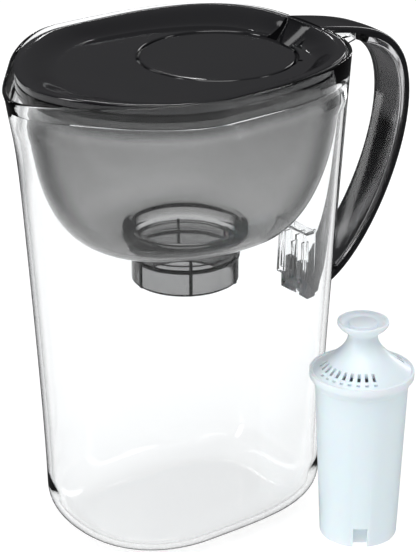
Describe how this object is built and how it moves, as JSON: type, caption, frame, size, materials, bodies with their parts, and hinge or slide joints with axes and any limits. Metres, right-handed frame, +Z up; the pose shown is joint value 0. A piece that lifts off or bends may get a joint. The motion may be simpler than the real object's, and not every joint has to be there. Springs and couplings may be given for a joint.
{
  "type": "water filter pitcher",
  "caption": "Clear oval water jug with a hanging smoke-grey reservoir, a lift-off lid with a hinged round fill flap, a loop handle and a drop-in filter cartridge standing beside it.",
  "frame": {"origin": "centre of the jug's foot, on the surface it stands on", "axes": "+Z up, +X towards the handle, -X towards the pouring spout, the cartridge stands on the -Y side"},
  "size_m": [0.2516, 0.1841, 0.262],
  "materials": {
    "clear_plastic": "clear moulded styrene, polished",
    "smoke_plastic": "smoke-grey transparent moulding, polished",
    "black_plastic": "black moulding with a smooth sheen",
    "filter_plastic": "bluish white translucent moulding",
    "granules": "packed bed of carbon and resin granules",
    "felt": "white felt disc"
  },
  "bodies": {
    "jug": {"jug_body": "clear_plastic", "handle_shell": "black_plastic", "handle_liner": "black_plastic"},
    "reservoir": {"reservoir": "smoke_plastic"},
    "lid": {"lid": "black_plastic"},
    "flap": {"fill_flap": "black_plastic"},
    "filter": {"filter_housing": "filter_plastic", "filter_cap": "filter_plastic", "filter_media": "granules", "filter_top_screen": "felt", "filter_base_screen": "felt"}
  },
  "joints": [
    {"name": "reservoir_lift", "type": "slide", "parent": "jug", "child": "reservoir", "axis": [0, 0, 1], "range_m": [0, 0.14]},
    {"name": "lid_lift", "type": "slide", "parent": "reservoir", "child": "lid", "axis": [0, 0, 1], "range_m": [0, 0.05]},
    {"name": "flap_hinge", "type": "hinge", "parent": "lid", "child": "flap", "pos_m": [-0.004, 0, 0.2529], "axis": [0, -1, 0], "range_deg": [0, 90]},
    {"name": "filter_lift", "type": "slide", "parent": "jug", "child": "filter", "axis": [0, -0.6, 0.8], "range_m": [0, 0.16]}
  ]
}
